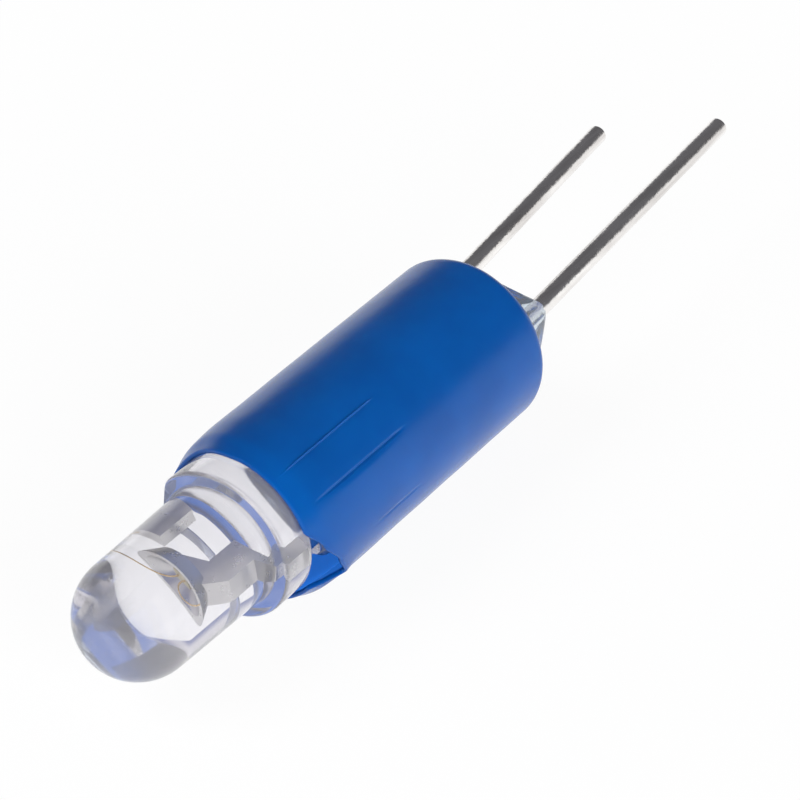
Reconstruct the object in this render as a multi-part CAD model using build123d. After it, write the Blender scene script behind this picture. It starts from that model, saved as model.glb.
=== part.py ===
from build123d import *
import math
import os

# Bi-pin indicator lamp: a 3 mm light-emitting diode with an axial resistor on one leg and an
# axial rectifier diode on the other, in a shrink sleeve that is closed behind with clear epoxy.
# The free ends of the resistor and the diode are the lamp's two pins.
# While the pieces are made, X is the lamp's axis, with the dome at -X and the pins at +X, and
# x = 0 is the centre of the dome. Sizes are in millimetres and angles in degrees.

# ---- light-emitting diode
DOME_R = 1.468            # half-round tip of the lens
BARREL_R = 1.53           # barrel where it meets the flange
BARREL_LEN = 2.95         # dome centre to the front of the flange
FLANGE_R = 1.90
FLANGE_T = 1.00
FLANGE_EDGE = 0.10        # rounding of the flange's corners
FLAT_DEPTH = 0.30         # flat on the flange beside the cathode's leg
LED_TURN = 6.0            # turn of the lead frame's plane about the axis
LEG_PITCH = 2.54          # between the two legs
LEG_W = 0.50
LEG_T = 0.45
LEG_REACH = 2.18          # how far the cut legs stand out behind the flange
CUP_RIM_X = 0.95
CUP_RIM_R = 0.62
CUP_FOOT_R = 0.45
CUP_TALL = 0.45
CUP_MOUTH_R = 0.50
CUP_FLOOR_R = 0.26
CUP_DEPTH = 0.28
ANVIL_DROP = 0.62         # from the cup's foot to the stem of the anvil
STEM_IN = 0.22            # sides of the anvil's stem, from the axis
STEM_OUT = 0.80
POST_TOP_X = 1.60
POST_IN = 0.55            # sides of the post, from the axis
POST_OUT = 1.05
NECK_X = 2.75             # where the lead frame starts to spread out to the legs
SPREAD = 0.35
CHIP_SIDE = 0.26
CHIP_T = 0.10
GLUE_T = 0.02
GLUE_SPREAD = 0.06
BOND_WIRE_R = 0.015
BOND_LOOP = 0.22          # rise of the bond wires above the rim

# ---- the two axial components
LEAD_R = 0.25             # round wire of both components, and so of the pins
PIN_TURN = -19.0          # turn of the pins' plane about the axis
COMPONENT_OFF = 0.90      # each component's axis, sideways from the lamp's axis
COMPONENT_LIFT = -0.60    # and below it, so that the lamp lies with its pins up
COMPONENT_GAP = 3.20      # from the flange to the components' front ends
LAP_GAP = 0.85            # from the flange to the front leads' cut ends
LAP_LEN = 1.45            # front lead laid along the leg
LEAD_IN = 0.35            # straight lead at a component's front end
LAP_CLEAR = 0.01
RESISTOR_LEN = 3.30
RESISTOR_R = 0.80
CORE_R = 0.55
CAP_R = 0.67
CAP_LEN = 0.70
COAT_END = 0.15           # lacquer over the caps' ends
COAT_WAIST = 0.08
DIODE_LEN = 3.40
DIODE_R = 0.80
STUD_R = 0.38
DIE_T = 0.24
DIODE_EDGE = 0.30
SOLDER_LEN = 1.20
SOLDER_SPREAD = 0.16      # solder outside the leg and the lead
SOLDER_EDGE = 0.12

# ---- pins
PIN_SPACING = 3.17
PIN_LIFT = 0.228          # pins above the lamp's axis where they leave the epoxy
ANODE_PIN_FREE = 10.6
CATHODE_PIN_FREE = 9.75
ANODE_SWAY, ANODE_RISE = 1.76, 2.79       # lean sideways and upwards
CATHODE_SWAY, CATHODE_RISE = 2.73, 4.20
PIN_END_EDGE = 0.06
PIN_STRAIGHT = 0.9        # straight run inside the epoxy before the exit
ELBOW_CLEAR = 0.10        # from the epoxy's top on the wire to the slight elbow of the pin
WIRE_BEND_R = 0.40
WIRE_START = 0.45

# ---- sleeve and potting
SLEEVE_R = 2.254
WALL = 0.22
SLEEVE_SHIFT = 0.049      # the sleeve sits this far off the LED's axis
SHIFT_ANGLE = 218.2       # direction of that shift, from +Y towards +Z
FLANGE_COVER = 0.35       # flange thickness under the sleeve's lip
LIP_GAP = 0.012
LIP_TAPER = 0.55
LIP_EDGE = 0.12
BODY_LEN = 9.20           # sleeve behind the flange
REAR_ROUND = 0.30
REAR_INNER_ROUND = 0.15
REST_FLAT = 0.13          # depth of the narrow flat that the sleeve lies on
NOTCH_DEPTH = 1.15
NOTCH_ANGLE = 203.0       # direction of the open notch in the lip
NOTCH_HALF = 33.0
CREASES = ((118.7, 0.0, 3.35), (144.0, 0.3, 3.55), (185.0, 2.0, 3.7))   # angle, start, end behind the flange
CREASE_R = 0.05
CREASE_SINK = 0.02
POTTING_GAP = 2.05        # from the flange to the epoxy's front
POTTING_PROUD = 0.10
MENISCUS_BASE = 0.75
MENISCUS_TALL = 0.95
MENISCUS_WALL = 0.03

flange_back = BARREL_LEN + FLANGE_T
leg_end = flange_back + LEG_REACH
component_x = flange_back + COMPONENT_GAP
sleeve_rear = flange_back + BODY_LEN
potting_x = flange_back + POTTING_GAP
leg_mid = LEG_PITCH / 2
bore_r = SLEEVE_R - WALL
lip_x = flange_back - FLANGE_COVER
shift_y = SLEEVE_SHIFT * math.cos(math.radians(SHIFT_ANGLE))
shift_z = SLEEVE_SHIFT * math.sin(math.radians(SHIFT_ANGLE))
resistor_back = component_x + RESISTOR_LEN
diode_back = component_x + DIODE_LEN
flange_edge = min(FLANGE_EDGE, (FLANGE_R - BARREL_R) * 0.4)
AXIS_PLANE = Plane(origin=(0, 0, 0), x_dir=(1, 0, 0), z_dir=(0, -1, 0))


def turned(points):
    """Solid of revolution about the lamp's axis, from (x, radius) points."""
    outline = make_face(Polyline(*[AXIS_PLANE.from_local_coords((x, r, 0)) for x, r in points], close=True))
    return revolve(outline, Axis.X)


def rod(x0, x1, radius, side=0.0, lift=0.0):
    """Round bar along X."""
    base = Plane(origin=(x0, side, lift), z_dir=(1, 0, 0))
    return extrude(base * Circle(radius), amount=x1 - x0)


def led_turn(shape):
    """Turns a piece from the lead frame's own plane to its place in the lamp."""
    return Rot(X=LED_TURN) * shape


def across(turn, side, lift):
    """Place across the lamp of a point given in a plane turned about the axis."""
    c, s = math.cos(math.radians(turn)), math.sin(math.radians(turn))
    return side * c - lift * s, side * s + lift * c


def largest(shape):
    """The main solid of a cut."""
    return max(shape.solids(), key=lambda s: s.volume)


def led_body():
    """Clear epoxy: dome, slightly tapered barrel and flange with its flat, as one casting."""
    half = CenterArc((0, 0), DOME_R, 90, 90)
    tip = half @ 1
    outline = half + Polyline(half @ 0, (BARREL_LEN, BARREL_R), (BARREL_LEN, FLANGE_R),
                              (flange_back, FLANGE_R), (flange_back, 0), tip)
    body = revolve(AXIS_PLANE * make_face(outline), Axis.X)
    rims = [e for e in body.edges().filter_by(GeomType.CIRCLE) if abs(e.radius - FLANGE_R) < 1e-4]
    body = fillet(rims, flange_edge)
    flat = Box(FLANGE_T * 2, FLAT_DEPTH * 2, FLANGE_R * 3)
    flat = Pos(BARREL_LEN + FLANGE_T / 2, FLANGE_R, 0) * flat
    notch = flat - rod(BARREL_LEN - FLANGE_T, BARREL_LEN, FLANGE_R * 2)
    return led_turn(body - notch)


def reflector_cup():
    """Cup at the head of the anvil: outer cone and the hollow in it."""
    foot = CUP_RIM_X + CUP_TALL
    outer = turned([(CUP_RIM_X, 0), (CUP_RIM_X, CUP_RIM_R), (foot, CUP_FOOT_R), (foot, 0)])
    floor = CUP_RIM_X + CUP_DEPTH
    hollow = turned([(CUP_RIM_X - 0.1, 0), (CUP_RIM_X - 0.1, CUP_MOUTH_R), (CUP_RIM_X, CUP_MOUTH_R),
                     (floor, CUP_FLOOR_R), (floor, 0)])
    return outer, hollow


def plate(points):
    """Flat stamping of the lead frame, from (x, side) points."""
    face = make_face(Polyline(*points, close=True))
    return Pos(0, 0, -LEG_T / 2) * extrude(face, amount=LEG_T)


def leg_points(side):
    """Outer and inner corners of a leg that spreads out from the lead frame, on one side."""
    out, inn = side * (leg_mid + LEG_W / 2), side * (leg_mid - LEG_W / 2)
    return [(leg_end, out), (NECK_X + SPREAD, out)], [(NECK_X + SPREAD, inn), (leg_end, inn)]


def anode_anvil():
    """Stamped anvil with the reflector cup, its stem and its leg."""
    outer, hollow = reflector_cup()
    top = CUP_RIM_X + CUP_TALL * 0.6
    shoulder = top + ANVIL_DROP
    leg_out, leg_in = leg_points(-1)
    blade = plate(leg_out + [(NECK_X, -STEM_OUT), (shoulder, -STEM_OUT), (top, -CUP_FOOT_R),
                             (top, CUP_FOOT_R), (shoulder, -STEM_IN), (NECK_X, -STEM_IN)] + leg_in)
    return led_turn(largest((blade + outer) - hollow))


def cathode_post():
    """Stamped post that carries the bond wire, and its leg."""
    leg_out, leg_in = leg_points(1)
    blade = plate(leg_out + [(NECK_X, POST_OUT), (POST_TOP_X, POST_OUT), (POST_TOP_X, POST_IN),
                             (NECK_X, POST_IN)] + leg_in)
    return led_turn(blade)


def die_attach():
    """Thin pad of conductive glue under the chip."""
    floor = CUP_RIM_X + CUP_DEPTH
    side = CHIP_SIDE + GLUE_SPREAD
    return led_turn(Pos(floor - GLUE_T / 2, 0, 0) * Box(GLUE_T, side, side))


def led_chip():
    """Square light-emitting chip on the floor of the cup."""
    floor = CUP_RIM_X + CUP_DEPTH - GLUE_T
    return led_turn(Pos(floor - CHIP_T / 2, 0, 0) * Box(CHIP_T, CHIP_SIDE, CHIP_SIDE))


def bond_wire(start_side, end_side, end_x):
    """Fine gold wire that loops from the chip's face over the rim."""
    chip_face = CUP_RIM_X + CUP_DEPTH - GLUE_T - CHIP_T
    top = CUP_RIM_X - BOND_LOOP
    path = ThreePointArc((chip_face, start_side, 0), (top, (start_side + end_side) / 2, 0),
                         (end_x, end_side, 0))
    section = Plane(origin=path @ 0, z_dir=path % 0) * Circle(BOND_WIRE_R)
    return led_turn(sweep(section, path=path))


def cathode_bond_wire():
    return bond_wire(CHIP_SIDE / 4, (POST_IN + POST_OUT) / 2, POST_TOP_X)


def anode_bond_wire():
    return bond_wire(-CHIP_SIDE / 4, -(CUP_RIM_R + CUP_MOUTH_R) / 2, CUP_RIM_X)


def component(side):
    """Place across the lamp of a component's axis."""
    return across(PIN_TURN, side * COMPONENT_OFF, COMPONENT_LIFT)


def bent_wire(points):
    """Round wire along straight runs joined by bends."""
    path = FilletPolyline(*points, radius=WIRE_BEND_R)
    return sweep(Plane(origin=path @ 0, z_dir=path % 0) * Circle(LEAD_R), path=path)


def lap_place(side):
    """Place across the lamp of a front lead where it lies under its leg."""
    return across(LED_TURN, side * leg_mid, -(LEG_T / 2 + LEAD_R + LAP_CLEAR))


def front_lead(side, end_x):
    """Front wire of a component: along the leg, then bent in to the component's end."""
    lap, body = lap_place(side), component(side)
    start = flange_back + LAP_GAP
    return bent_wire([(start, *lap), (start + LAP_LEN, *lap), (component_x - LEAD_IN, *body), (end_x, *body)])


def pin_point(side, sway, rise, x):
    """Point on a pin's straight line at a given x."""
    run = x - sleeve_rear
    return (x, *across(PIN_TURN, side * PIN_SPACING / 2 + run * math.tan(math.radians(sway)),
                       PIN_LIFT + run * math.tan(math.radians(rise))))


def pin_wire(side, start_x, sway, rise, free):
    """Rear wire of a component: bent outwards in the epoxy, square out of it, then leaning to its tip."""
    elbow = pin_point(side, sway, rise, sleeve_rear + MENISCUS_TALL + ELBOW_CLEAR)
    tip = pin_point(side, sway, rise, sleeve_rear + free)
    wire = bent_wire([(start_x, *component(side)), (start_x + WIRE_START, *component(side)),
                      (sleeve_rear - PIN_STRAIGHT, *elbow[1:]), elbow, tip])
    end = wire.faces().sort_by(Axis.X)[-1]
    return fillet(end.edges(), PIN_END_EDGE)


def resistor_core():
    """Ceramic rod."""
    return rod(component_x + COAT_END * 2, resistor_back - COAT_END * 2, CORE_R, *component(-1))


def resistor_cap(front):
    """Pressed steel cap on one end of the ceramic rod."""
    x0 = component_x + COAT_END if front else resistor_back - COAT_END - CAP_LEN
    cup = rod(x0, x0 + CAP_LEN, CAP_R, *component(-1))
    return cup - resistor_core()


def resistor_front_lead():
    return front_lead(-1, component_x + COAT_END)


def anode_pin():
    """Rear lead of the resistor, which is the lamp's longer pin."""
    stub_x = resistor_back - COAT_END
    return pin_wire(-1, stub_x, ANODE_SWAY, ANODE_RISE, ANODE_PIN_FREE)


def resistor_coat(inner):
    """Lacquer over the rod and caps, a little slimmer between the caps."""
    waist_r = RESISTOR_R - COAT_WAIST
    a, b = component_x, resistor_back
    body = turned([(a, 0), (a, RESISTOR_R - COAT_END), (a + COAT_END, RESISTOR_R),
                   (a + CAP_LEN, RESISTOR_R), (a + CAP_LEN + COAT_END * 2, waist_r),
                   (b - CAP_LEN - COAT_END * 2, waist_r), (b - CAP_LEN, RESISTOR_R),
                   (b - COAT_END, RESISTOR_R), (b, RESISTOR_R - COAT_END), (b, 0)])
    body = Pos(0, *component(-1)) * body
    for piece in inner:
        body -= piece
    return body


def diode_die():
    """Silicon die between the two studs."""
    mid = (component_x + diode_back) / 2
    return rod(mid - DIE_T / 2, mid + DIE_T / 2, STUD_R * 0.8, *component(1))


def stud(front):
    """Stud inside the glass, welded to its lead."""
    mid = (component_x + diode_back) / 2
    if front:
        return rod(component_x + DIODE_EDGE, mid - DIE_T / 2, STUD_R, *component(1))
    return rod(mid + DIE_T / 2, diode_back - DIODE_EDGE, STUD_R, *component(1))


def diode_front_lead():
    return largest(front_lead(1, component_x + DIODE_EDGE) + stud(True))


def cathode_pin():
    """Rear lead of the diode with its stud, which is the lamp's shorter pin."""
    start = diode_back - DIODE_EDGE
    wire = pin_wire(1, start, CATHODE_SWAY, CATHODE_RISE, CATHODE_PIN_FREE)
    return largest(wire + stud(False))


def diode_glass(inner):
    """Glass bead drawn down on the studs."""
    body = rod(component_x, diode_back, DIODE_R, *component(1))
    body = fillet(body.edges().filter_by(GeomType.CIRCLE), DIODE_EDGE)
    mid = (component_x + diode_back) / 2
    body -= rod(mid - DIE_T / 2, mid + DIE_T / 2, STUD_R, *component(1))
    for piece in inner:
        body -= piece
    return body


def solder_joint(side, wires):
    """Solder round a leg and the lead that is lapped under it."""
    reach = LEG_T / 2 + LEAD_R + LAP_CLEAR
    x0 = flange_back + LAP_GAP + (LAP_LEN - SOLDER_LEN) / 2
    base = Plane(origin=(x0, side * leg_mid, -reach / 2), x_dir=(0, 0, 1), z_dir=(1, 0, 0))
    blob = extrude(base * SlotCenterToCenter(reach, LEG_W + SOLDER_SPREAD * 2), amount=SOLDER_LEN)
    ends = blob.faces().sort_by(Axis.X)
    blob = led_turn(fillet(ends[0].edges() + ends[-1].edges(), SOLDER_EDGE))
    for wire in wires:
        blob -= wire
    return largest(blob)


def sleeve_bore():
    """Space inside the sleeve: necked in at the flange and at the rear rim."""
    neck_r = FLANGE_R + SLEEVE_SHIFT + LIP_GAP
    neck_end = lip_x + LIP_TAPER
    tube = turned([(BARREL_LEN, 0), (BARREL_LEN, neck_r), (lip_x + FLANGE_COVER, neck_r),
                   (neck_end + FLANGE_COVER, bore_r), (sleeve_rear, bore_r), (sleeve_rear, 0)])
    rear = [e for e in tube.edges().filter_by(GeomType.CIRCLE)
            if abs(e.radius - bore_r) < 1e-4 and e.center().X > sleeve_rear - 1e-4]
    return Pos(0, shift_y, shift_z) * fillet(rear, REAR_INNER_ROUND)


def shrink_sleeve():
    """Blue shrink tube, drawn in on the flange and at the rear, with a notch, creases and a flat."""
    neck_r = FLANGE_R + SLEEVE_SHIFT + LIP_GAP + WALL
    tube = turned([(lip_x, 0), (lip_x, neck_r - LIP_EDGE), (lip_x + LIP_EDGE, neck_r),
                   (lip_x + LIP_TAPER, SLEEVE_R), (sleeve_rear, SLEEVE_R), (sleeve_rear, 0)])
    rear = [e for e in tube.edges().filter_by(GeomType.CIRCLE)
            if abs(e.radius - SLEEVE_R) < 1e-4 and e.center().X > sleeve_rear - 1e-4]
    tube = fillet(rear, REAR_ROUND)
    for angle, start, stop in CREASES:
        a = math.radians(angle)
        r = SLEEVE_R - CREASE_SINK
        rib = rod(flange_back + start, flange_back + stop, CREASE_R, r * math.cos(a), r * math.sin(a))
        tube = tube + rib
    tube = Pos(0, shift_y, shift_z) * tube
    under = Box(sleeve_rear * 3, SLEEVE_R * 3, SLEEVE_R)
    tube -= Pos(0, 0, shift_z - SLEEVE_R * 1.5 + REST_FLAT) * under
    half_width = SLEEVE_R * math.tan(math.radians(NOTCH_HALF))
    vee = make_face(Polyline((lip_x - 0.5, -half_width), (lip_x - 0.5, half_width), (lip_x, half_width),
                             (lip_x + NOTCH_DEPTH, 0), (lip_x, -half_width), close=True))
    wedge = extrude(vee, amount=SLEEVE_R * 2)
    tube -= Rot(X=NOTCH_ANGLE - 90) * wedge
    return largest(tube - sleeve_bore())


def meniscus(side, sway, rise):
    """Epoxy drawn up a pin in a concave fillet."""
    elbow = pin_point(side, sway, rise, sleeve_rear + MENISCUS_TALL + ELBOW_CLEAR)
    base = (sleeve_rear, *elbow[1:])
    top_r = LEAD_R + MENISCUS_WALL
    hollow = RadiusArc((top_r, MENISCUS_TALL), (MENISCUS_BASE, POTTING_PROUD), -MENISCUS_TALL * 1.15)
    outline = hollow + Polyline((MENISCUS_BASE, POTTING_PROUD), (MENISCUS_BASE, -POTTING_PROUD),
                                (0, -POTTING_PROUD), (0, MENISCUS_TALL), (top_r, MENISCUS_TALL))
    cone = revolve(AXIS_PLANE * make_face(outline), Axis.Z)
    return Plane(origin=base, z_dir=(1, 0, 0)) * cone


def potting(pieces):
    """Clear epoxy that fills the sleeve behind and climbs the pins."""
    behind = Box(sleeve_rear * 2, SLEEVE_R * 3, SLEEVE_R * 3)
    fill = sleeve_bore() & Pos(potting_x + sleeve_rear, 0, 0) * behind
    rim_r = bore_r - REAR_INNER_ROUND
    end = Pos(0, shift_y, shift_z) * rod(sleeve_rear - 0.02, sleeve_rear + POTTING_PROUD, rim_r)
    climb = meniscus(-1, ANODE_SWAY, ANODE_RISE) + meniscus(1, CATHODE_SWAY, CATHODE_RISE)
    limit = Pos(0, shift_y, shift_z) * rod(sleeve_rear - 0.02, sleeve_rear + MENISCUS_TALL * 2, rim_r)
    body = fill + end + (climb & limit)
    for piece in pieces:
        body -= piece
    return largest(body)


def lamp():
    """All pieces by name, in the making frame."""
    parts = {"anode_anvil": anode_anvil(), "cathode_post": cathode_post(), "die_attach": die_attach(),
             "led_chip": led_chip(), "anode_bond_wire": anode_bond_wire(),
             "cathode_bond_wire": cathode_bond_wire()}
    lens = led_body()
    for piece in list(parts.values()):
        lens -= piece
    parts["led_lens"] = largest(lens)
    resistor = {"resistor_core": resistor_core(), "resistor_front_cap": resistor_cap(True),
                "resistor_rear_cap": resistor_cap(False), "resistor_front_lead": resistor_front_lead(),
                "anode_pin": anode_pin()}
    resistor["resistor_coat"] = resistor_coat(list(resistor.values()))
    diode = {"diode_die": diode_die(), "diode_front_lead": diode_front_lead(), "cathode_pin": cathode_pin()}
    diode["diode_glass"] = diode_glass(list(diode.values()))
    parts.update(resistor)
    parts.update(diode)
    anode = [parts["anode_anvil"], parts["resistor_front_lead"]]
    cathode = [parts["cathode_post"], parts["diode_front_lead"]]
    parts["anode_solder"] = solder_joint(-1, anode)
    parts["cathode_solder"] = solder_joint(1, cathode)
    parts["potting"] = potting([parts[n] for n in parts if n != "led_lens"])
    parts["shrink_sleeve"] = shrink_sleeve()
    return parts


def main():
    """Sets the lamp down on z = 0, centred on its box, and writes each piece."""
    parts = lamp()
    box = Compound(children=[s for p in parts.values() for s in p.solids()]).bounding_box()
    middle = box.center()
    place = Pos(-middle.X, -middle.Y, -box.min.Z)
    os.makedirs("parts", exist_ok=True)
    for name, shape in parts.items():
        export_step(place * shape, f"parts/{name}.step")
    print("dome centre", [round(-middle.X, 4), round(-middle.Y, 4), round(-box.min.Z, 4)])


main()
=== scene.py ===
import math
import bpy
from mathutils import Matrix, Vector, noise


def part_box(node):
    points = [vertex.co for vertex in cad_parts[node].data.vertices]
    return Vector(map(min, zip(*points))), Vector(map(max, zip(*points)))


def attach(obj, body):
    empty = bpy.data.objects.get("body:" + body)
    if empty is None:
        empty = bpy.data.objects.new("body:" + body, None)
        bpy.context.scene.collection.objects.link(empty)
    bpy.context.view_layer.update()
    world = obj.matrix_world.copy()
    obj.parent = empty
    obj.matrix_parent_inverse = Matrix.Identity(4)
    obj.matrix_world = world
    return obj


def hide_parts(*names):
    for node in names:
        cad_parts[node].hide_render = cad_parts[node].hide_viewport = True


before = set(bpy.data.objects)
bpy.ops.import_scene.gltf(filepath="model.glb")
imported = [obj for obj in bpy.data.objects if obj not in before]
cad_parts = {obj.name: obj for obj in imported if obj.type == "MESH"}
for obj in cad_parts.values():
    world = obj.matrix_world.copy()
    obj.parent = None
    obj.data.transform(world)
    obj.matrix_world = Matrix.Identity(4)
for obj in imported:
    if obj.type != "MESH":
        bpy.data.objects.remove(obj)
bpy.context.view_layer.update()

# ---- Table, light and camera -------------------------------------------------------------------
# A white table sweep that the lamp lies on. It is white to the eye and in reflections, and it
# still takes the lamp's own soft shadow. The room above it is dim, with two soft panels.

MM = 0.001
DOME_R = 1.468 * MM
FLANGE_R = 1.90 * MM
lens_low, lens_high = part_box("led_lens")
DOME = Vector((lens_low.x + DOME_R, lens_low.y + FLANGE_R, (lens_low.z + lens_high.z) / 2))
TABLE_HALF = 0.6
TABLE_WHITE = (0.93, 0.93, 0.94, 1)
WHITE_EDGE = 0.045        # beyond this from the lamp the table shows plain white
HORIZON_LOW, HORIZON_HIGH = 0.02, 0.30    # where the white horizon starts and ends to fade
ROOM_DIM = (0.13, 0.13, 0.14, 1)
WHITE_NEAR = 0.93         # share of plain white close to the lamp, where its shadow shows
PAINTED_PALE_THROUGH = (0.72, 0.70, 0.75, 1)      # painted view through the clear epoxy: the room shown pale there
PAINTED_BLUE_THROUGH = (0.10, 0.13, 0.36, 1)      # and painted bluish patches in it, in place of the sleeve's reflections in the lens


def add_node(tree, kind, place, **settings):
    """New node with its plain values and settings."""
    node = tree.nodes.new(kind)
    node.location = place
    for key, value in settings.items():
        if key in node.inputs:
            node.inputs[key].default_value = value
        else:
            setattr(node, key, value)
    return node


def new_material(name, **values):
    """Material with one Principled shader that holds the plain values."""
    material = bpy.data.materials.new(name)
    material.use_nodes = True
    tree = material.node_tree
    shader = tree.nodes["Principled BSDF"]
    for key, value in values.items():
        shader.inputs[key].default_value = value
    return material, tree, shader


def two_tone(tree, place, low_at, low, high_at, high):
    """Colour ramp between two tones."""
    ramp = add_node(tree, "ShaderNodeValToRGB", place)
    first, second = ramp.color_ramp.elements
    first.position, first.color = low_at, low
    second.position, second.color = high_at, high
    return ramp


def see_white(tree, tail, shade, strength):
    """Mixes plain white over a shade for the eye, for mirrors and through glass."""
    path = add_node(tree, "ShaderNodeLightPath", (-600, 300))
    glossy = add_node(tree, "ShaderNodeMath", (-400, 300), operation="MAXIMUM")
    clear = add_node(tree, "ShaderNodeMath", (-200, 300), operation="MAXIMUM")
    white = add_node(tree, "ShaderNodeEmission", (0, 100), Strength=strength)
    mix = add_node(tree, "ShaderNodeMixShader", (200, 0))
    tree.links.new(path.outputs["Is Camera Ray"], glossy.inputs[0])
    tree.links.new(path.outputs["Is Glossy Ray"], glossy.inputs[1])
    tree.links.new(glossy.outputs[0], clear.inputs[0])
    tree.links.new(path.outputs["Is Transmission Ray"], clear.inputs[1])
    tree.links.new(shade, mix.inputs[1])
    tree.links.new(white.outputs[0], mix.inputs[2])
    tree.links.new(mix.outputs[0], tail)
    return clear, mix


def white_table():
    mesh = bpy.data.meshes.new("table")
    h = TABLE_HALF
    mesh.from_pydata([(-h, -h, 0), (h, -h, 0), (h, h, 0), (-h, h, 0)], [], [(0, 1, 2, 3)])
    table = bpy.data.objects.new("table", mesh)
    bpy.context.collection.objects.link(table)
    material, tree, shader = new_material("white_table", **{"Base Color": TABLE_WHITE, "Roughness": 0.9})
    shader.inputs["Specular IOR Level"].default_value = 0.0
    tail = tree.nodes["Material Output"].inputs["Surface"]
    clear, mix = see_white(tree, tail, shader.outputs[0], 1.0)
    place = add_node(tree, "ShaderNodeTexCoord", (-900, -200))
    reach = add_node(tree, "ShaderNodeVectorMath", (-700, -200), operation="LENGTH")
    fade = add_node(tree, "ShaderNodeMapRange", (-500, -200))
    fade.inputs["From Min"].default_value = 0.0
    fade.inputs["From Max"].default_value = WHITE_EDGE
    fade.inputs["To Min"].default_value = WHITE_NEAR
    fade.inputs["To Max"].default_value = 1.0
    share = add_node(tree, "ShaderNodeMath", (0, 300), operation="MULTIPLY")
    tree.links.new(place.outputs["Object"], reach.inputs[0])
    tree.links.new(reach.outputs["Value"], fade.inputs["Value"])
    tree.links.new(clear.outputs[0], share.inputs[0])
    tree.links.new(fade.outputs[0], share.inputs[1])
    tree.links.new(share.outputs[0], mix.inputs[0])
    mesh.materials.append(material)


def room_light():
    """Dim room above, white at the horizon, so that polished wire and epoxy have something to show. Rays that
    came through the epoxy see a painted pale view with blue patches instead.
    """
    world = bpy.data.worlds.new("room")
    world.use_nodes = True
    bpy.context.scene.world = world
    tree = world.node_tree
    tree.nodes.clear()
    out = add_node(tree, "ShaderNodeOutputWorld", (900, 0))
    place = add_node(tree, "ShaderNodeTexCoord", (-700, 0))
    split = add_node(tree, "ShaderNodeSeparateXYZ", (-500, 0))
    height = add_node(tree, "ShaderNodeMapRange", (-300, 0), interpolation_type="SMOOTHSTEP")
    height.inputs["From Min"].default_value = HORIZON_LOW
    height.inputs["From Max"].default_value = HORIZON_HIGH
    tone = add_node(tree, "ShaderNodeMix", (-100, 0), data_type="RGBA")
    tone.inputs["A"].default_value = (1.0, 1.0, 1.0, 1)
    tone.inputs["B"].default_value = ROOM_DIM
    room = add_node(tree, "ShaderNodeBackground", (300, 0), Strength=1.0)
    tree.links.new(place.outputs["Generated"], split.inputs[0])
    tree.links.new(split.outputs["Z"], height.inputs["Value"])
    tree.links.new(height.outputs[0], tone.inputs["Factor"])
    tree.links.new(tone.outputs["Result"], room.inputs["Color"])
    white = add_node(tree, "ShaderNodeBackground", (300, -200), Color=(1.0, 1.0, 1.0, 1), Strength=1.0)
    # Painted view through the epoxy: pale, with blue noise patches in place of the sleeve's reflections in
    # the lens.
    pale = add_node(tree, "ShaderNodeBackground", (300, -400), Strength=1.0)
    patch = add_node(tree, "ShaderNodeTexNoise", (-300, -400), Scale=1.6, Detail=1.0)
    hue = two_tone(tree, (0, -400), 0.40, PAINTED_BLUE_THROUGH, 0.50, PAINTED_PALE_THROUGH)
    tree.links.new(place.outputs["Generated"], patch.inputs["Vector"])
    tree.links.new(patch.outputs["Fac"], hue.inputs["Fac"])
    tree.links.new(hue.outputs["Color"], pale.inputs["Color"])
    # Rays that came through glass get the painted view instead of the room.
    inside = add_node(tree, "ShaderNodeMath", (300, 300), operation="GREATER_THAN")
    inside.inputs[1].default_value = 0.5
    path = add_node(tree, "ShaderNodeLightPath", (100, 300))
    through = add_node(tree, "ShaderNodeMixShader", (500, -100))
    mix = add_node(tree, "ShaderNodeMixShader", (700, 0))
    tree.links.new(path.outputs["Transmission Depth"], inside.inputs[0])
    tree.links.new(inside.outputs[0], through.inputs[0])
    tree.links.new(room.outputs[0], through.inputs[1])
    tree.links.new(pale.outputs[0], through.inputs[2])
    tree.links.new(path.outputs["Is Camera Ray"], mix.inputs[0])
    tree.links.new(through.outputs[0], mix.inputs[1])
    tree.links.new(white.outputs[0], mix.inputs[2])
    tree.links.new(mix.outputs[0], out.inputs[0])


def soft_panel(name, direction, distance, size, power):
    """Round soft panel that faces the lamp; it lights the lamp but isn't mirrored in it."""
    light = bpy.data.lights.new(name, "AREA")
    light.shape = "DISK"
    light.size = size
    light.energy = power
    panel = bpy.data.objects.new(name, light)
    bpy.context.collection.objects.link(panel)
    panel.location = DOME + Vector(direction).normalized() * distance
    panel.rotation_euler = Vector(direction).to_track_quat("Z", "Y").to_euler()
    panel.visible_glossy = False
    panel.visible_transmission = False


def main_camera():
    """Camera above the dome's side, looking down along the lamp."""
    eye = DOME + Vector((-40.421, -34.746, 43.916)) * MM
    gaze = Vector((0.66913, 0.45982, -0.58381))
    data = bpy.data.cameras.new("camera")
    data.lens = 141.1
    data.sensor_width = 36
    data.clip_start = 0.002
    data.clip_end = 5
    camera = bpy.data.objects.new("camera", data)
    bpy.context.collection.objects.link(camera)
    camera.location = eye
    camera.rotation_euler = gaze.to_track_quat("-Z", "Y").to_euler()
    bpy.context.scene.camera = camera


white_table()
room_light()
soft_panel("panel_left", (-0.62, 0.55, 0.80), 0.25, 0.16, 0.45)
soft_panel("panel_front", (-0.35, -0.90, 0.35), 0.30, 0.16, 0.95)
main_camera()
bpy.context.scene.view_settings.view_transform = "Standard"

# ---- Lens --------------------------------------------------------------------------------------
# The diode's body is one clear epoxy casting round the lead frame: a half-round tip, a barrel with
# a little draft, a flange with a soft fillet in front and a flat beside the cathode leg.

BARREL_R = 1.53 * MM
BARREL_LEN = 2.95 * MM
FLANGE_T = 1.00 * MM
FLANGE_EDGE = 0.10 * MM
FLAT_DEPTH = 0.30 * MM
ROOT_FILLET = 0.09 * MM
LED_TURN = math.radians(6)
LENS_TURNS = 192


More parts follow.
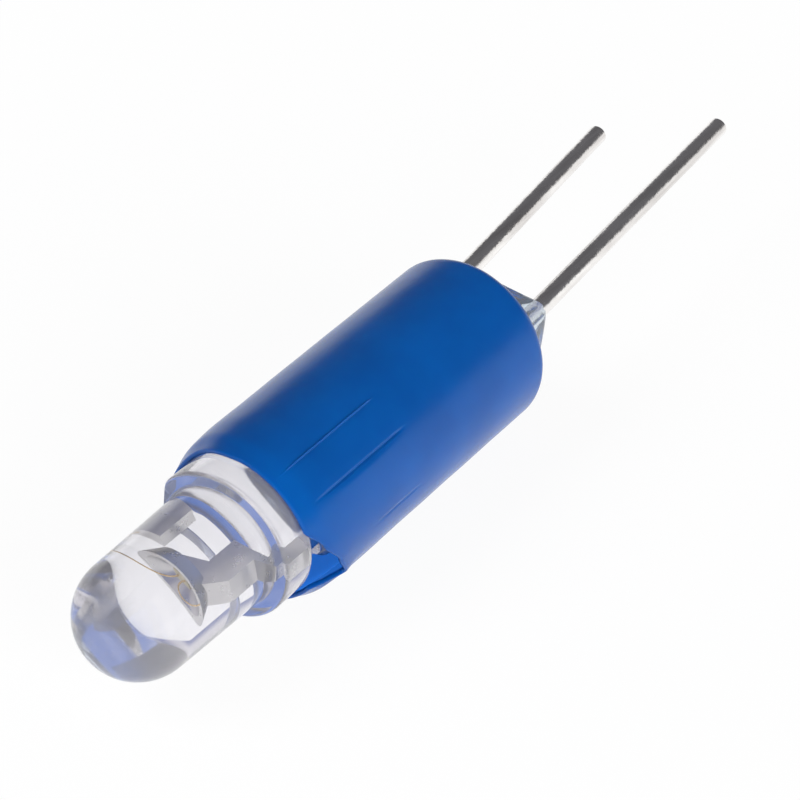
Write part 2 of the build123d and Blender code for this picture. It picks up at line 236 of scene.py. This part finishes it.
def arc(cx, cr, radius, start, stop, steps):
    """Points of an arc in the (x, radius) plane, angles in degrees from +x."""
    spots = []
    for i in range(steps + 1):
        a = math.radians(start + (stop - start) * i / steps)
        spots.append((cx + radius * math.cos(a), cr + radius * math.sin(a)))
    return spots


def lathe(name, profile, turns, centre, shape=None):
    """Closed solid of revolution along X about a centre; both ends of the profile are on the axis."""
    rings = profile[1:-1]
    spots = [Vector((profile[0][0], 0, 0))]
    for x, r in rings:
        for k in range(turns):
            a = 2 * math.pi * k / turns
            spots.append(Vector((x, r * math.cos(a), r * math.sin(a))))
    spots.append(Vector((profile[-1][0], 0, 0)))
    if shape:
        spots = [shape(p) for p in spots]
    faces = []
    last = len(spots) - 1
    for k in range(turns):
        n = (k + 1) % turns
        faces.append((0, 1 + k, 1 + n))
        for j in range(len(rings) - 1):
            a, b = 1 + j * turns, 1 + (j + 1) * turns
            faces.append((a + k, b + k, b + n, a + n))
        end = 1 + (len(rings) - 1) * turns
        faces.append((last, end + n, end + k))
    return make_piece(name, [p + centre for p in spots], faces)


def make_piece(name, spots, faces, smooth_angle=35):
    """Mesh object at the origin, with outward faces and smooth shading up to an angle."""
    mesh = bpy.data.meshes.new(name)
    mesh.from_pydata([tuple(p) for p in spots], [], faces)
    mesh.validate()
    mesh.polygons.foreach_set("use_smooth", [True] * len(mesh.polygons))
    mesh.set_sharp_from_angle(angle=math.radians(smooth_angle))
    piece = bpy.data.objects.new(name, mesh)
    bpy.context.collection.objects.link(piece)
    outward(piece)
    return piece


def outward(piece):
    """Turns the faces outwards if the closed mesh is inside out."""
    mesh = piece.data
    mesh.calc_loop_triangles()
    volume = 0.0
    for t in mesh.loop_triangles:
        a, b, c = (mesh.vertices[i].co for i in t.vertices)
        volume += a.dot(b.cross(c))
    if volume < 0:
        mesh.flip_normals()


def to_plane(p, turn):
    """Side and lift of a point from the lamp's axis, in a plane turned about it."""
    c, s = math.cos(turn), math.sin(turn)
    return p.y * c + p.z * s, -p.y * s + p.z * c


def from_plane(x, side, lift, turn):
    """Point at a side and lift of a plane turned about the lamp's axis."""
    c, s = math.cos(turn), math.sin(turn)
    return Vector((x, side * c - lift * s, side * s + lift * c))


def flange_flat(p):
    """Moves the flange's edge in to the flat on the cathode's side."""
    if p.x < BARREL_LEN - 0.01 * MM:
        return p
    side, lift = to_plane(p, LED_TURN)
    return from_plane(p.x, min(side, FLANGE_R - FLAT_DEPTH), lift, LED_TURN)


def clear_epoxy(name, tint, roughness):
    """Water-clear cast epoxy with the faintest waviness of a moulded face."""
    material, tree, shader = new_material(name, **{
        "Base Color": tint, "Roughness": roughness, "Transmission Weight": 0.86, "IOR": 1.53})
    place = add_node(tree, "ShaderNodeTexCoord", (-900, 0))
    waves = add_node(tree, "ShaderNodeTexNoise", (-700, 0), Scale=420.0, Detail=2.0)
    bump = add_node(tree, "ShaderNodeBump", (-300, -200), Strength=0.02, Distance=0.00003)
    tree.links.new(place.outputs["Object"], waves.inputs["Vector"])
    tree.links.new(waves.outputs["Fac"], bump.inputs["Height"])
    tree.links.new(bump.outputs[0], shader.inputs["Normal"])
    return material


def make_lens():
    tip = arc(0, 0, DOME_R, 180, 90, 40)
    back = BARREL_LEN + FLANGE_T
    e = FLANGE_EDGE
    root = arc(BARREL_LEN - ROOT_FILLET, BARREL_R + ROOT_FILLET, ROOT_FILLET, 270, 360, 6)
    front = arc(BARREL_LEN + e, FLANGE_R - e, e, 180, 90, 6)
    rear = arc(back - e, FLANGE_R - e, e, 90, 0, 6)
    barrel = []
    for i in range(1, 12):
        f = i / 12
        barrel.append((f * (BARREL_LEN - ROOT_FILLET), DOME_R + (BARREL_R - DOME_R) * f))
    profile = tip + barrel + root + front + rear + [(back, 0)]
    lens = lathe("lens", profile, LENS_TURNS, DOME, flange_flat)
    lens.data.materials.append(clear_epoxy("clear_epoxy", (0.94, 0.93, 0.96, 1), 0.015))
    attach(lens, "root")
    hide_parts("led_lens")


make_lens()

# ---- Lead frame, chip and bond wires -----------------------------------------------------------
# Stamped steel with silver plating: the anvil with its reflector cup, and the post. The chip is
# glued in the cup, and two gold wires loop from it to the post and to the cup's rim.


def stamped_group():
    """Shared grain of drawn or stamped metal: streaks along X and small pits."""
    tree = bpy.data.node_groups.new("metal_grain", "ShaderNodeTree")
    face = tree.interface
    face.new_socket("Coarse", in_out="INPUT", socket_type="NodeSocketFloat")
    face.new_socket("Along", in_out="INPUT", socket_type="NodeSocketFloat")
    face.new_socket("Streaks", in_out="OUTPUT", socket_type="NodeSocketFloat")
    face.new_socket("Pits", in_out="OUTPUT", socket_type="NodeSocketFloat")
    given = add_node(tree, "NodeGroupInput", (-900, 0))
    out = add_node(tree, "NodeGroupOutput", (600, 0))
    place = add_node(tree, "ShaderNodeTexCoord", (-900, 300))
    squeeze = add_node(tree, "ShaderNodeCombineXYZ", (-700, 100), Y=1.0, Z=1.0)
    stretch = add_node(tree, "ShaderNodeVectorMath", (-500, 200), operation="MULTIPLY")
    streak = add_node(tree, "ShaderNodeTexNoise", (-300, 200), Detail=5.0, Roughness=0.65)
    pit = add_node(tree, "ShaderNodeTexNoise", (-300, -100), Detail=3.0, Roughness=0.7)
    fine = add_node(tree, "ShaderNodeMath", (-500, -100), operation="MULTIPLY")
    fine.inputs[1].default_value = 1.7
    tree.links.new(given.outputs["Along"], squeeze.inputs["X"])
    tree.links.new(place.outputs["Object"], stretch.inputs[0])
    tree.links.new(squeeze.outputs[0], stretch.inputs[1])
    tree.links.new(stretch.outputs[0], streak.inputs["Vector"])
    tree.links.new(given.outputs["Coarse"], streak.inputs["Scale"])
    tree.links.new(given.outputs["Coarse"], fine.inputs[0])
    tree.links.new(fine.outputs[0], pit.inputs["Scale"])
    tree.links.new(place.outputs["Object"], pit.inputs["Vector"])
    tree.links.new(streak.outputs["Fac"], out.inputs["Streaks"])
    tree.links.new(pit.outputs["Fac"], out.inputs["Pits"])
    return tree


METAL_GRAIN = stamped_group()


def grained_metal(name, dark, light, rough_low, rough_high, coarse, along, bump_depth):
    """Metal whose tone, roughness and relief follow the shared grain."""
    material, tree, shader = new_material(name, **{"Metallic": 1.0})
    grain = add_node(tree, "ShaderNodeGroup", (-900, 0), node_tree=METAL_GRAIN)
    grain.inputs["Coarse"].default_value = coarse
    grain.inputs["Along"].default_value = along
    tone = two_tone(tree, (-600, 200), 0.36, dark, 0.64, light)
    rough = add_node(tree, "ShaderNodeMapRange", (-600, -50))
    rough.inputs["From Min"].default_value = 0.3
    rough.inputs["From Max"].default_value = 0.7
    rough.inputs["To Min"].default_value = rough_low
    rough.inputs["To Max"].default_value = rough_high
    bump = add_node(tree, "ShaderNodeBump", (-600, -350), Strength=0.5, Distance=bump_depth)
    tree.links.new(grain.outputs["Streaks"], tone.inputs["Fac"])
    tree.links.new(grain.outputs["Pits"], rough.inputs["Value"])
    tree.links.new(grain.outputs["Pits"], bump.inputs["Height"])
    tree.links.new(tone.outputs["Color"], shader.inputs["Base Color"])
    tree.links.new(rough.outputs[0], shader.inputs["Roughness"])
    tree.links.new(bump.outputs[0], shader.inputs["Normal"])
    return material


def finish_node(node, material):
    """Gives a CAD node its finish."""
    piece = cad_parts[node]
    piece.data.materials.clear()
    piece.data.materials.append(material)
    return piece


silvered = grained_metal("silvered_steel", (0.52, 0.51, 0.51, 1), (0.62, 0.61, 0.60, 1),
                         0.26, 0.32, 1500.0, 0.25, 0.000001)
gold = grained_metal("bond_gold", (0.78, 0.50, 0.16, 1), (0.95, 0.68, 0.30, 1),
                     0.20, 0.30, 9000.0, 0.5, 0.000001)
chip_face = grained_metal("chip_face", (0.42, 0.36, 0.20, 1), (0.62, 0.56, 0.38, 1),
                          0.30, 0.45, 12000.0, 1.0, 0.000002)
glue = grained_metal("conductive_glue", (0.35, 0.34, 0.32, 1), (0.52, 0.50, 0.47, 1),
                     0.45, 0.60, 14000.0, 1.0, 0.000003)
for node in ("anode_anvil", "cathode_post"):
    finish_node(node, silvered)
for node in ("anode_bond_wire", "cathode_bond_wire"):
    finish_node(node, gold)
finish_node("led_chip", chip_face)
finish_node("die_attach", glue)

# ---- Resistor, diode and solder ----------------------------------------------------------------
# Hidden in the sleeve: a lacquered axial resistor and a glass diode, lapped and soldered on the
# cut legs. Their front leads are tinned wire.

tinned = grained_metal("tinned_wire", (0.70, 0.67, 0.65, 1), (1.0, 0.98, 0.96, 1),
                       0.10, 0.32, 2400.0, 0.08, 0.00003)
solder = grained_metal("set_solder", (0.34, 0.34, 0.34, 1), (0.52, 0.52, 0.52, 1),
                       0.30, 0.50, 3000.0, 1.0, 0.00001)


def speckled(name, low, high, roughness, scale):
    """Lacquer, ceramic or glass whose tone drifts a little over the surface."""
    material, tree, shader = new_material(name, **{"Roughness": roughness})
    place = add_node(tree, "ShaderNodeTexCoord", (-900, 0))
    cloud = add_node(tree, "ShaderNodeTexNoise", (-700, 0), Scale=scale, Detail=4.0)
    tone = two_tone(tree, (-450, 0), 0.35, low, 0.65, high)
    bump = add_node(tree, "ShaderNodeBump", (-450, -300), Strength=0.3, Distance=0.00001)
    tree.links.new(place.outputs["Object"], cloud.inputs["Vector"])
    tree.links.new(cloud.outputs["Fac"], tone.inputs["Fac"])
    tree.links.new(cloud.outputs["Fac"], bump.inputs["Height"])
    tree.links.new(tone.outputs["Color"], shader.inputs["Base Color"])
    tree.links.new(bump.outputs[0], shader.inputs["Normal"])
    return material


lacquer = speckled("resistor_lacquer", (0.50, 0.36, 0.18, 1), (0.60, 0.45, 0.25, 1), 0.3, 1500)
ceramic = speckled("ceramic_rod", (0.70, 0.68, 0.64, 1), (0.80, 0.78, 0.74, 1), 0.6, 3000)
bead_glass = speckled("diode_glass", (0.45, 0.16, 0.06, 1), (0.58, 0.24, 0.10, 1), 0.1, 1200)
finish_node("resistor_coat", lacquer)
finish_node("resistor_core", ceramic)
finish_node("diode_glass", bead_glass)
finish_node("diode_die", chip_face)
for node in ("resistor_front_cap", "resistor_rear_cap", "resistor_front_lead", "diode_front_lead"):
    finish_node(node, tinned)
for node in ("anode_solder", "cathode_solder"):
    finish_node(node, solder)

# ---- Pins --------------------------------------------------------------------------------------
# The rear leads of the resistor and the diode: round tinned wire that bends outwards in the epoxy,
# leaves it square, and leans a little to its clipped end. One node tree draws both wires.

PIN_TURN = math.radians(-19)
PIN_R = 0.25 * MM
PIN_SPACING = 3.17 * MM
PIN_LIFT = 0.228 * MM
ELBOW_RUN = 1.05 * MM
COMPONENT_OFF = 0.90 * MM
COMPONENT_LIFT = -0.60 * MM
PIN_REAR = 13.15 * MM      # rear rim of the sleeve behind the dome's centre
WIRE_START = 0.45 * MM     # straight wire at the component's rear end
PIN_STRAIGHT = 0.90 * MM   # straight wire inside the epoxy before the rim
STEP_LEN = 0.005 * MM      # from the thick head of a wire to its full length
WIRE_SIDES = 36
WIRE_CUT = 0.03 * MM       # distance between the wire's rings
TIP_SHARE = 0.76           # radius of the bevelled tip as a share of the wire's
# Where the wire starts behind the dome's centre and its head begins (mm), how thick the head is
# against the wire, its lean sideways and upwards (degrees), and its free length (mm).
PINS = (dict(node="anode_pin", side=-1, start=10.30, head=10.28, thick=1.0, sway=1.76, rise=2.79, free=10.60),
        dict(node="cathode_pin", side=1, start=10.25, head=8.97, thick=1.52, sway=2.73, rise=4.20, free=9.75))


def pin_point(side, sway, rise, run):
    """Side and lift of a pin's straight line at a run behind the rim."""
    return (side * PIN_SPACING / 2 + run * math.tan(math.radians(sway)),
            PIN_LIFT + run * math.tan(math.radians(rise)))


def pin_route(side, start, head, sway, rise, free):
    """Corners of a pin's path, from the component to the tip."""
    elbow = pin_point(side, sway, rise, ELBOW_RUN)
    tip = pin_point(side, sway, rise, free * MM)
    body = (side * COMPONENT_OFF, COMPONENT_LIFT)
    spots = [(head * MM, body), (start * MM, body), (start * MM + STEP_LEN, body),
             (start * MM + WIRE_START, body), (PIN_REAR - PIN_STRAIGHT, elbow),
             (PIN_REAR + ELBOW_RUN, elbow), (PIN_REAR + free * MM, tip)]
    return [from_plane(x, u, v, PIN_TURN) for x, (u, v) in spots]


def drawn_wire():
    """Node tree: fillets a path, sweeps a round section along it and bevels the clipped end."""
    tree = bpy.data.node_groups.new("drawn_wire", "GeometryNodeTree")
    face = tree.interface
    face.new_socket("Geometry", in_out="INPUT", socket_type="NodeSocketGeometry")
    for name, value in (("Wire Radius", PIN_R), ("Bend Radius", 0.40 * MM), ("End Bevel", 0.06 * MM)):
        face.new_socket(name, in_out="INPUT", socket_type="NodeSocketFloat").default_value = value
    face.new_socket("Finish", in_out="INPUT", socket_type="NodeSocketMaterial")
    face.new_socket("Geometry", in_out="OUTPUT", socket_type="NodeSocketGeometry")
    given = add_node(tree, "NodeGroupInput", (-1200, 0))
    out = add_node(tree, "NodeGroupOutput", (1200, 0))
    curve = add_node(tree, "GeometryNodeMeshToCurve", (-1000, 0))
    bend = add_node(tree, "GeometryNodeFilletCurve", (-800, 0), mode="POLY", Count=10)
    bend.inputs["Limit Radius"].default_value = True
    fine = add_node(tree, "GeometryNodeResampleCurve", (-600, 0), mode="LENGTH", Length=WIRE_CUT)
    where = add_node(tree, "GeometryNodeSplineParameter", (-1000, -300))
    total = add_node(tree, "GeometryNodeSplineLength", (-1000, -500))
    left = add_node(tree, "ShaderNodeMath", (-800, -400), operation="SUBTRACT")
    bevel = add_node(tree, "ShaderNodeMapRange", (-600, -400))
    bevel.inputs["To Min"].default_value = TIP_SHARE
    bevel.inputs["To Max"].default_value = 1.0
    thick = add_node(tree, "GeometryNodeInputNamedAttribute", (-600, -700), data_type="FLOAT", Name="thick")
    scale = add_node(tree, "ShaderNodeMath", (-300, -500), operation="MULTIPLY")
    radius = add_node(tree, "GeometryNodeSetCurveRadius", (-100, 0))
    ring = add_node(tree, "GeometryNodeCurvePrimitiveCircle", (-100, -300), Resolution=WIRE_SIDES)
    wire = add_node(tree, "GeometryNodeCurveToMesh", (200, 0))
    wire.inputs["Fill Caps"].default_value = True
    real = add_node(tree, "GeometryNodeRealizeInstances", (500, 0))
    finish = add_node(tree, "GeometryNodeSetMaterial", (800, 0))
    tree.links.new(given.outputs["Geometry"], curve.inputs["Mesh"])
    tree.links.new(curve.outputs["Curve"], bend.inputs["Curve"])
    tree.links.new(given.outputs["Bend Radius"], bend.inputs["Radius"])
    tree.links.new(bend.outputs["Curve"], fine.inputs["Curve"])
    tree.links.new(total.outputs["Length"], left.inputs[0])
    tree.links.new(where.outputs["Length"], left.inputs[1])
    tree.links.new(left.outputs[0], bevel.inputs["Value"])
    tree.links.new(given.outputs["End Bevel"], bevel.inputs["From Max"])
    tree.links.new(bevel.outputs["Result"], scale.inputs[0])
    tree.links.new(thick.outputs["Attribute"], scale.inputs[1])
    tree.links.new(given.outputs["Wire Radius"], ring.inputs["Radius"])
    tree.links.new(fine.outputs["Curve"], radius.inputs["Curve"])
    tree.links.new(scale.outputs[0], radius.inputs["Radius"])
    tree.links.new(radius.outputs["Curve"], wire.inputs["Curve"])
    if "Scale" in wire.inputs:
        tree.links.new(scale.outputs[0], wire.inputs["Scale"])
    tree.links.new(ring.outputs["Curve"], wire.inputs["Profile Curve"])
    tree.links.new(wire.outputs["Mesh"], real.inputs["Geometry"])
    tree.links.new(real.outputs["Geometry"], finish.inputs["Geometry"])
    tree.links.new(given.outputs["Finish"], finish.inputs["Material"])
    tree.links.new(finish.outputs["Geometry"], out.inputs["Geometry"])
    return tree


def make_pin(tree, node, side, start, head, thick, sway, rise, free):
    """Path of one pin as a chain of edges, drawn as wire and baked."""
    route = [p + DOME for p in pin_route(side, start, head, sway, rise, free)]
    mesh = bpy.data.meshes.new(node + "_path")
    mesh.from_pydata([tuple(p) for p in route], [(i, i + 1) for i in range(len(route) - 1)], [])
    size = mesh.attributes.new("thick", "FLOAT", "POINT")
    for i in range(len(route)):
        size.data[i].value = thick if i < 2 else 1.0
    path = bpy.data.objects.new(node + "_path", mesh)
    bpy.context.collection.objects.link(path)
    nodes = path.modifiers.new("drawn_wire", "NODES")
    nodes.node_group = tree
    sockets = {item.name: item.identifier for item in tree.interface.items_tree if item.in_out == "INPUT"}
    nodes[sockets["Finish"]] = tinned
    bpy.context.view_layer.update()
    drawn = path.evaluated_get(bpy.context.evaluated_depsgraph_get())
    baked = bpy.data.meshes.new_from_object(drawn)
    bpy.data.objects.remove(path)
    baked.polygons.foreach_set("use_smooth", [True] * len(baked.polygons))
    baked.set_sharp_from_angle(angle=math.radians(35))
    pin = bpy.data.objects.new(node + "_wire", baked)
    bpy.context.collection.objects.link(pin)
    outward(pin)
    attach(pin, "root")
    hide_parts(node)


WIRE_TREE = drawn_wire()
for row in PINS:
    make_pin(WIRE_TREE, **row)

# ---- Shrink sleeve -----------------------------------------------------------------------------
# One length of blue shrink tube. It is drawn in on the diode's flange and over the epoxy behind,
# gapes in a notch with a raised corner low on the front, and keeps three creases from shrinking.

SLEEVE_R = 2.254 * MM
WALL = 0.22 * MM
LIP_WALL = 0.13 * MM
SLEEVE_SHIFT = Vector((0, -0.0385, -0.0303)) * MM
sleeve_low, sleeve_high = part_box("shrink_sleeve")
REAR_X = sleeve_high.x - DOME.x
REAR_ROUND = 0.30 * MM
TAPER = 0.55 * MM
BASE_ANGLES = 240
CREASE_ANGLES = 28         # extra cuts across each crease
ALONG = 88
INNER_ALONG = 16
# Angles go from +Y towards +Z. Lip: angle, distance behind the dome's centre, outer radius (mm).
LIP = ((-52, 3.74, 2.08), (15, 3.70, 2.07), (52, 3.86, 2.07), (85, 3.68, 2.08), (120, 3.61, 2.10),
       (156, 3.60, 2.10),
       (173, 4.02, 2.20), (190, 4.50, 2.27), (203, 4.76, 2.34), (210, 4.45, 2.20), (217, 4.04, 2.04),
       (248, 3.98, 2.02), (275, 3.97, 2.03), (308, 3.72, 2.10))
# Creases: angle, start, end behind the dome's centre (mm), height (mm), half width in degrees.
CREASES = ((118.4, 3.95, 7.35, 0.046, 0.50), (143.8, 4.25, 7.55, -0.030, 0.90),
           (185.0, 5.95, 7.65, -0.014, 1.1))
FACET = (144.5, 148.0, 167.0, 5.9, 1.8, 0.030)    # foot, top and end angles, middle, half length, height
LUMP = 0.007 * MM
BLUE_DEEP = (0.0, 0.064, 0.280, 1)
BLUE_LIGHT = (0.0, 0.080, 0.335, 1)
PAINTED_INNER_GLOW = (0.015, 0.11, 0.42, 1)       # painted glow: the inner face emits this in place of daylight through the thin wall


def smooth(a, b, t):
    """Smooth step from 0 at a to 1 at b."""
    t = min(1.0, max(0.0, (t - a) / (b - a)))
    return t * t * (3 - 2 * t)


def lip_at(angle):
    """Where the lip is and its outer radius at an angle in degrees."""
    for (a0, x0, r0), (a1, x1, r1) in zip(LIP, LIP[1:]):
        if a0 <= angle <= a1:
            f = (angle - a0) / (a1 - a0)
            f = f * 0.5 + smooth(0, 1, f) * 0.5
            return (x0 + (x1 - x0) * f) * MM, (r0 + (r1 - r0) * f) * MM
    return LIP[0][1] * MM, LIP[0][2] * MM


def crease_height(angle, x):
    """Relief of the creases and of the facet that slopes down beside one of them."""
    total = 0.0
    for middle, start, stop, height, half in CREASES:
        across = (angle - middle) / half
        if abs(across) < 4:
            ends = smooth(start - 0.15, start + 0.5, x / MM) * (1 - smooth(stop - 0.25, stop + 0.05, x / MM))
            total += height * math.exp(-across * across) * ends
    foot, top, end, centre, length, height = FACET
    if foot < angle < end:
        along = smooth(0, 1, 1 - min(1, abs(x / MM - centre) / length))
        total += height * min(smooth(foot, top, angle), (end - angle) / (end - top)) * along
    return total * MM


def sleeve_radius(angle, x, lip_x, lip_r):
    """Outer radius of the sleeve away from its lip and rear rim."""
    wide = smooth(0, TAPER, x - lip_x) * 0.6 + smooth(0, 2.2 * TAPER, x - lip_x) * 0.4
    r = lip_r + (SLEEVE_R - lip_r) * wide
    spot = Vector((x, math.cos(math.radians(angle)) * r, math.sin(math.radians(angle)) * r)) / MM
    return r + crease_height(angle, x) + LUMP * noise.noise(spot * 0.9) + 0.4 * LUMP * noise.noise(spot * 2.3)


def sleeve_outline(angle):
    """Closed (x, radius) outline of the wall at one angle: lip, outside, rear rim and inside."""
    lip_x, lip_r = lip_at(angle)
    half = LIP_WALL / 2
    turn = arc(lip_x + half, lip_r - half, half, 270, 90, 6)[1:]
    outside = []
    first, last = lip_x + half, REAR_X - REAR_ROUND
    for i in range(1, ALONG + 1):
        x = first + (last - first) * (i / ALONG) ** 1.15
        outside.append((x, sleeve_radius(angle, x, lip_x, lip_r)))
    edge_r = outside[-1][1]
    rim = arc(last, edge_r - REAR_ROUND, REAR_ROUND, 90, 8, 7)[1:]
    inner_rim = [(REAR_X - 0.01 * MM, edge_r - REAR_ROUND - 0.03 * MM),
                 (REAR_X - 0.10 * MM, edge_r - WALL - 0.08 * MM), (REAR_X - 0.3 * MM, edge_r - WALL)]
    inside = []
    for i in range(INNER_ALONG):
        x = inner_rim[-1][0] + (first + 0.08 * MM - inner_rim[-1][0]) * (i + 1) / INNER_ALONG
        wall = LIP_WALL + (WALL - LIP_WALL) * smooth(0, 0.8 * MM, x - lip_x)
        inside.append((x, sleeve_radius(angle, x, lip_x, lip_r) - wall))
    return turn + outside + rim + inner_rim + inside


def sleeve_angles():
    """Even cuts round the sleeve with closer ones at the creases."""
    cuts = {round(-52 + 360 * k / BASE_ANGLES, 3) for k in range(BASE_ANGLES)}
    for middle, _, _, _, half in CREASES:
        for k in range(CREASE_ANGLES + 1):
            cuts.add(round(middle + half * 3.2 * (2 * k / CREASE_ANGLES - 1), 3))
    return sorted(cuts)


def blue_shrink():
    """Semi-gloss blue polyolefin: slightly uneven tone, a fine skin, and a painted glow on its inner face in
    place of daylight through its wall.
    """
    material, tree, shader = new_material("blue_sleeve", **{
        "IOR": 1.45, "Specular IOR Level": 0.34, "Emission Strength": 1.0,
        "Subsurface Weight": 0.2, "Subsurface Scale": 0.0004, "Subsurface Radius": (0.1, 0.4, 1.0)})
    place = add_node(tree, "ShaderNodeTexCoord", (-1100, 0))
    cloud = add_node(tree, "ShaderNodeTexNoise", (-900, 200), Scale=420.0, Detail=3.0)
    tone = two_tone(tree, (-600, 200), 0.35, BLUE_DEEP, 0.68, BLUE_LIGHT)
    # Painted glow: the inner face of the wall emits blue light in place of daylight through it.
    inner = add_node(tree, "ShaderNodeAttribute", (-900, -500), attribute_name="inner")
    glow = add_node(tree, "ShaderNodeMix", (-600, -600), data_type="RGBA")
    glow.inputs["A"].default_value = (0.0, 0.0, 0.0, 1)
    glow.inputs["B"].default_value = PAINTED_INNER_GLOW
    skin = add_node(tree, "ShaderNodeTexNoise", (-900, -100), Scale=5200.0, Detail=4.0, Roughness=0.6)
    tree.links.new(inner.outputs["Fac"], glow.inputs["Factor"])
    tree.links.new(glow.outputs["Result"], shader.inputs["Emission Color"])
    rough = add_node(tree, "ShaderNodeMapRange", (-600, -50))
    rough.inputs["To Min"].default_value = 0.20
    rough.inputs["To Max"].default_value = 0.30
    bump = add_node(tree, "ShaderNodeBump", (-600, -350), Strength=0.25, Distance=0.000004)
    tree.links.new(place.outputs["Object"], cloud.inputs["Vector"])
    tree.links.new(place.outputs["Object"], skin.inputs["Vector"])
    tree.links.new(cloud.outputs["Fac"], tone.inputs["Fac"])
    tree.links.new(cloud.outputs["Fac"], rough.inputs["Value"])
    tree.links.new(skin.outputs["Fac"], bump.inputs["Height"])
    tree.links.new(tone.outputs["Color"], shader.inputs["Base Color"])
    tree.links.new(rough.outputs[0], shader.inputs["Roughness"])
    tree.links.new(bump.outputs[0], shader.inputs["Normal"])
    return material


def make_sleeve():
    centre = DOME + SLEEVE_SHIFT
    spots, faces = [], []
    cuts = sleeve_angles()
    for angle in cuts:
        a = math.radians(angle)
        for x, r in sleeve_outline(angle):
            p = centre + Vector((x, r * math.cos(a), r * math.sin(a)))
            p.z = max(p.z, sleeve_low.z)
            spots.append(p)
    size = len(spots) // len(cuts)
    for k in range(len(cuts)):
        n = (k + 1) % len(cuts)
        for j in range(size):
            m = (j + 1) % size
            faces.append((k * size + j, n * size + j, n * size + m, k * size + m))
    sleeve = make_piece("sleeve", spots, faces, 60)
    # Marks the inner face, where the painted glow is emitted.
    inner = sleeve.data.attributes.new("inner", "FLOAT", "POINT")
    inner.data.foreach_set("value", [float(i % size >= size - INNER_ALONG) for i in range(len(spots))])
    sleeve.data.materials.append(blue_shrink())
    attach(sleeve, "root")
    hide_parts("shrink_sleeve")


make_sleeve()

# ---- Epoxy at the rear -------------------------------------------------------------------------
# Clear potting epoxy poured in from behind. It fills the sleeve round the parts, stands a little
# proud of the rim, and is drawn up the two pins in hollow fillets.

POTTING_GAP = 0.012 * MM   # so that the epoxy and the sleeve's inside don't share one surface
POTTING_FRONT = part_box("potting")[0].x - DOME.x
MENISCUS_TALL = 0.95 * MM
MENISCUS_DECAY = 0.62 * MM
FILM_TALL = 0.05 * MM
EPOXY_RINGS = 46
EPOXY_TURNS = 288
PIN_EXITS = [pin_point(row["side"], row["sway"], row["rise"], ELBOW_RUN) for row in PINS]


def epoxy_height(p):
    """Height of the free epoxy face above the rim at a point across the lamp."""
    side, lift = to_plane(p, PIN_TURN)
    height = FILM_TALL
    for s, l in PIN_EXITS:
        away = max(0.0, math.hypot(side - s, lift - l) - PIN_R)
        height += MENISCUS_TALL * 0.92 * math.exp(-away / MENISCUS_DECAY)
    return min(height, MENISCUS_TALL)


def make_epoxy():
    fill_r = SLEEVE_R - WALL - POTTING_GAP
    rim_r = fill_r - 0.15 * MM
    spots = [Vector((POTTING_FRONT, 0, 0))]
    stations = [(POTTING_FRONT, fill_r - 0.1 * MM), (POTTING_FRONT + 0.1 * MM, fill_r),
                (REAR_X - 0.3 * MM, fill_r), (REAR_X - 0.1 * MM, fill_r - 0.07 * MM), (REAR_X, rim_r)]
    for x, r in stations:
        for k in range(EPOXY_TURNS):
            a = 2 * math.pi * k / EPOXY_TURNS
            spots.append(Vector((x, r * math.cos(a), r * math.sin(a))))
    for i in range(EPOXY_RINGS):
        r = rim_r * (1 - (i / EPOXY_RINGS) ** 1.2)
        lift_in = smooth(0, 0.06 * MM, rim_r - r) * 0.75 + 0.25
        for k in range(EPOXY_TURNS):
            a = 2 * math.pi * k / EPOXY_TURNS
            p = Vector((0, r * math.cos(a), r * math.sin(a)))
            p.x = REAR_X + epoxy_height(p + SLEEVE_SHIFT) * lift_in
            spots.append(p)
    middle = Vector((REAR_X + epoxy_height(SLEEVE_SHIFT), 0, 0))
    spots.append(middle)
    rings = len(stations) + EPOXY_RINGS
    faces = []
    last = len(spots) - 1
    for k in range(EPOXY_TURNS):
        n = (k + 1) % EPOXY_TURNS
        faces.append((0, 1 + n, 1 + k))
        for j in range(rings - 1):
            a, b = 1 + j * EPOXY_TURNS, 1 + (j + 1) * EPOXY_TURNS
            faces.append((a + k, a + n, b + n, b + k))
        end = 1 + (rings - 1) * EPOXY_TURNS
        faces.append((last, end + k, end + n))
    epoxy = make_piece("epoxy", [p + DOME + SLEEVE_SHIFT for p in spots], faces, 50)
    epoxy.data.materials.append(clear_epoxy("potting_epoxy", (0.78, 0.87, 0.94, 1), 0.06))
    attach(epoxy, "root")
    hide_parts("potting")


make_epoxy()
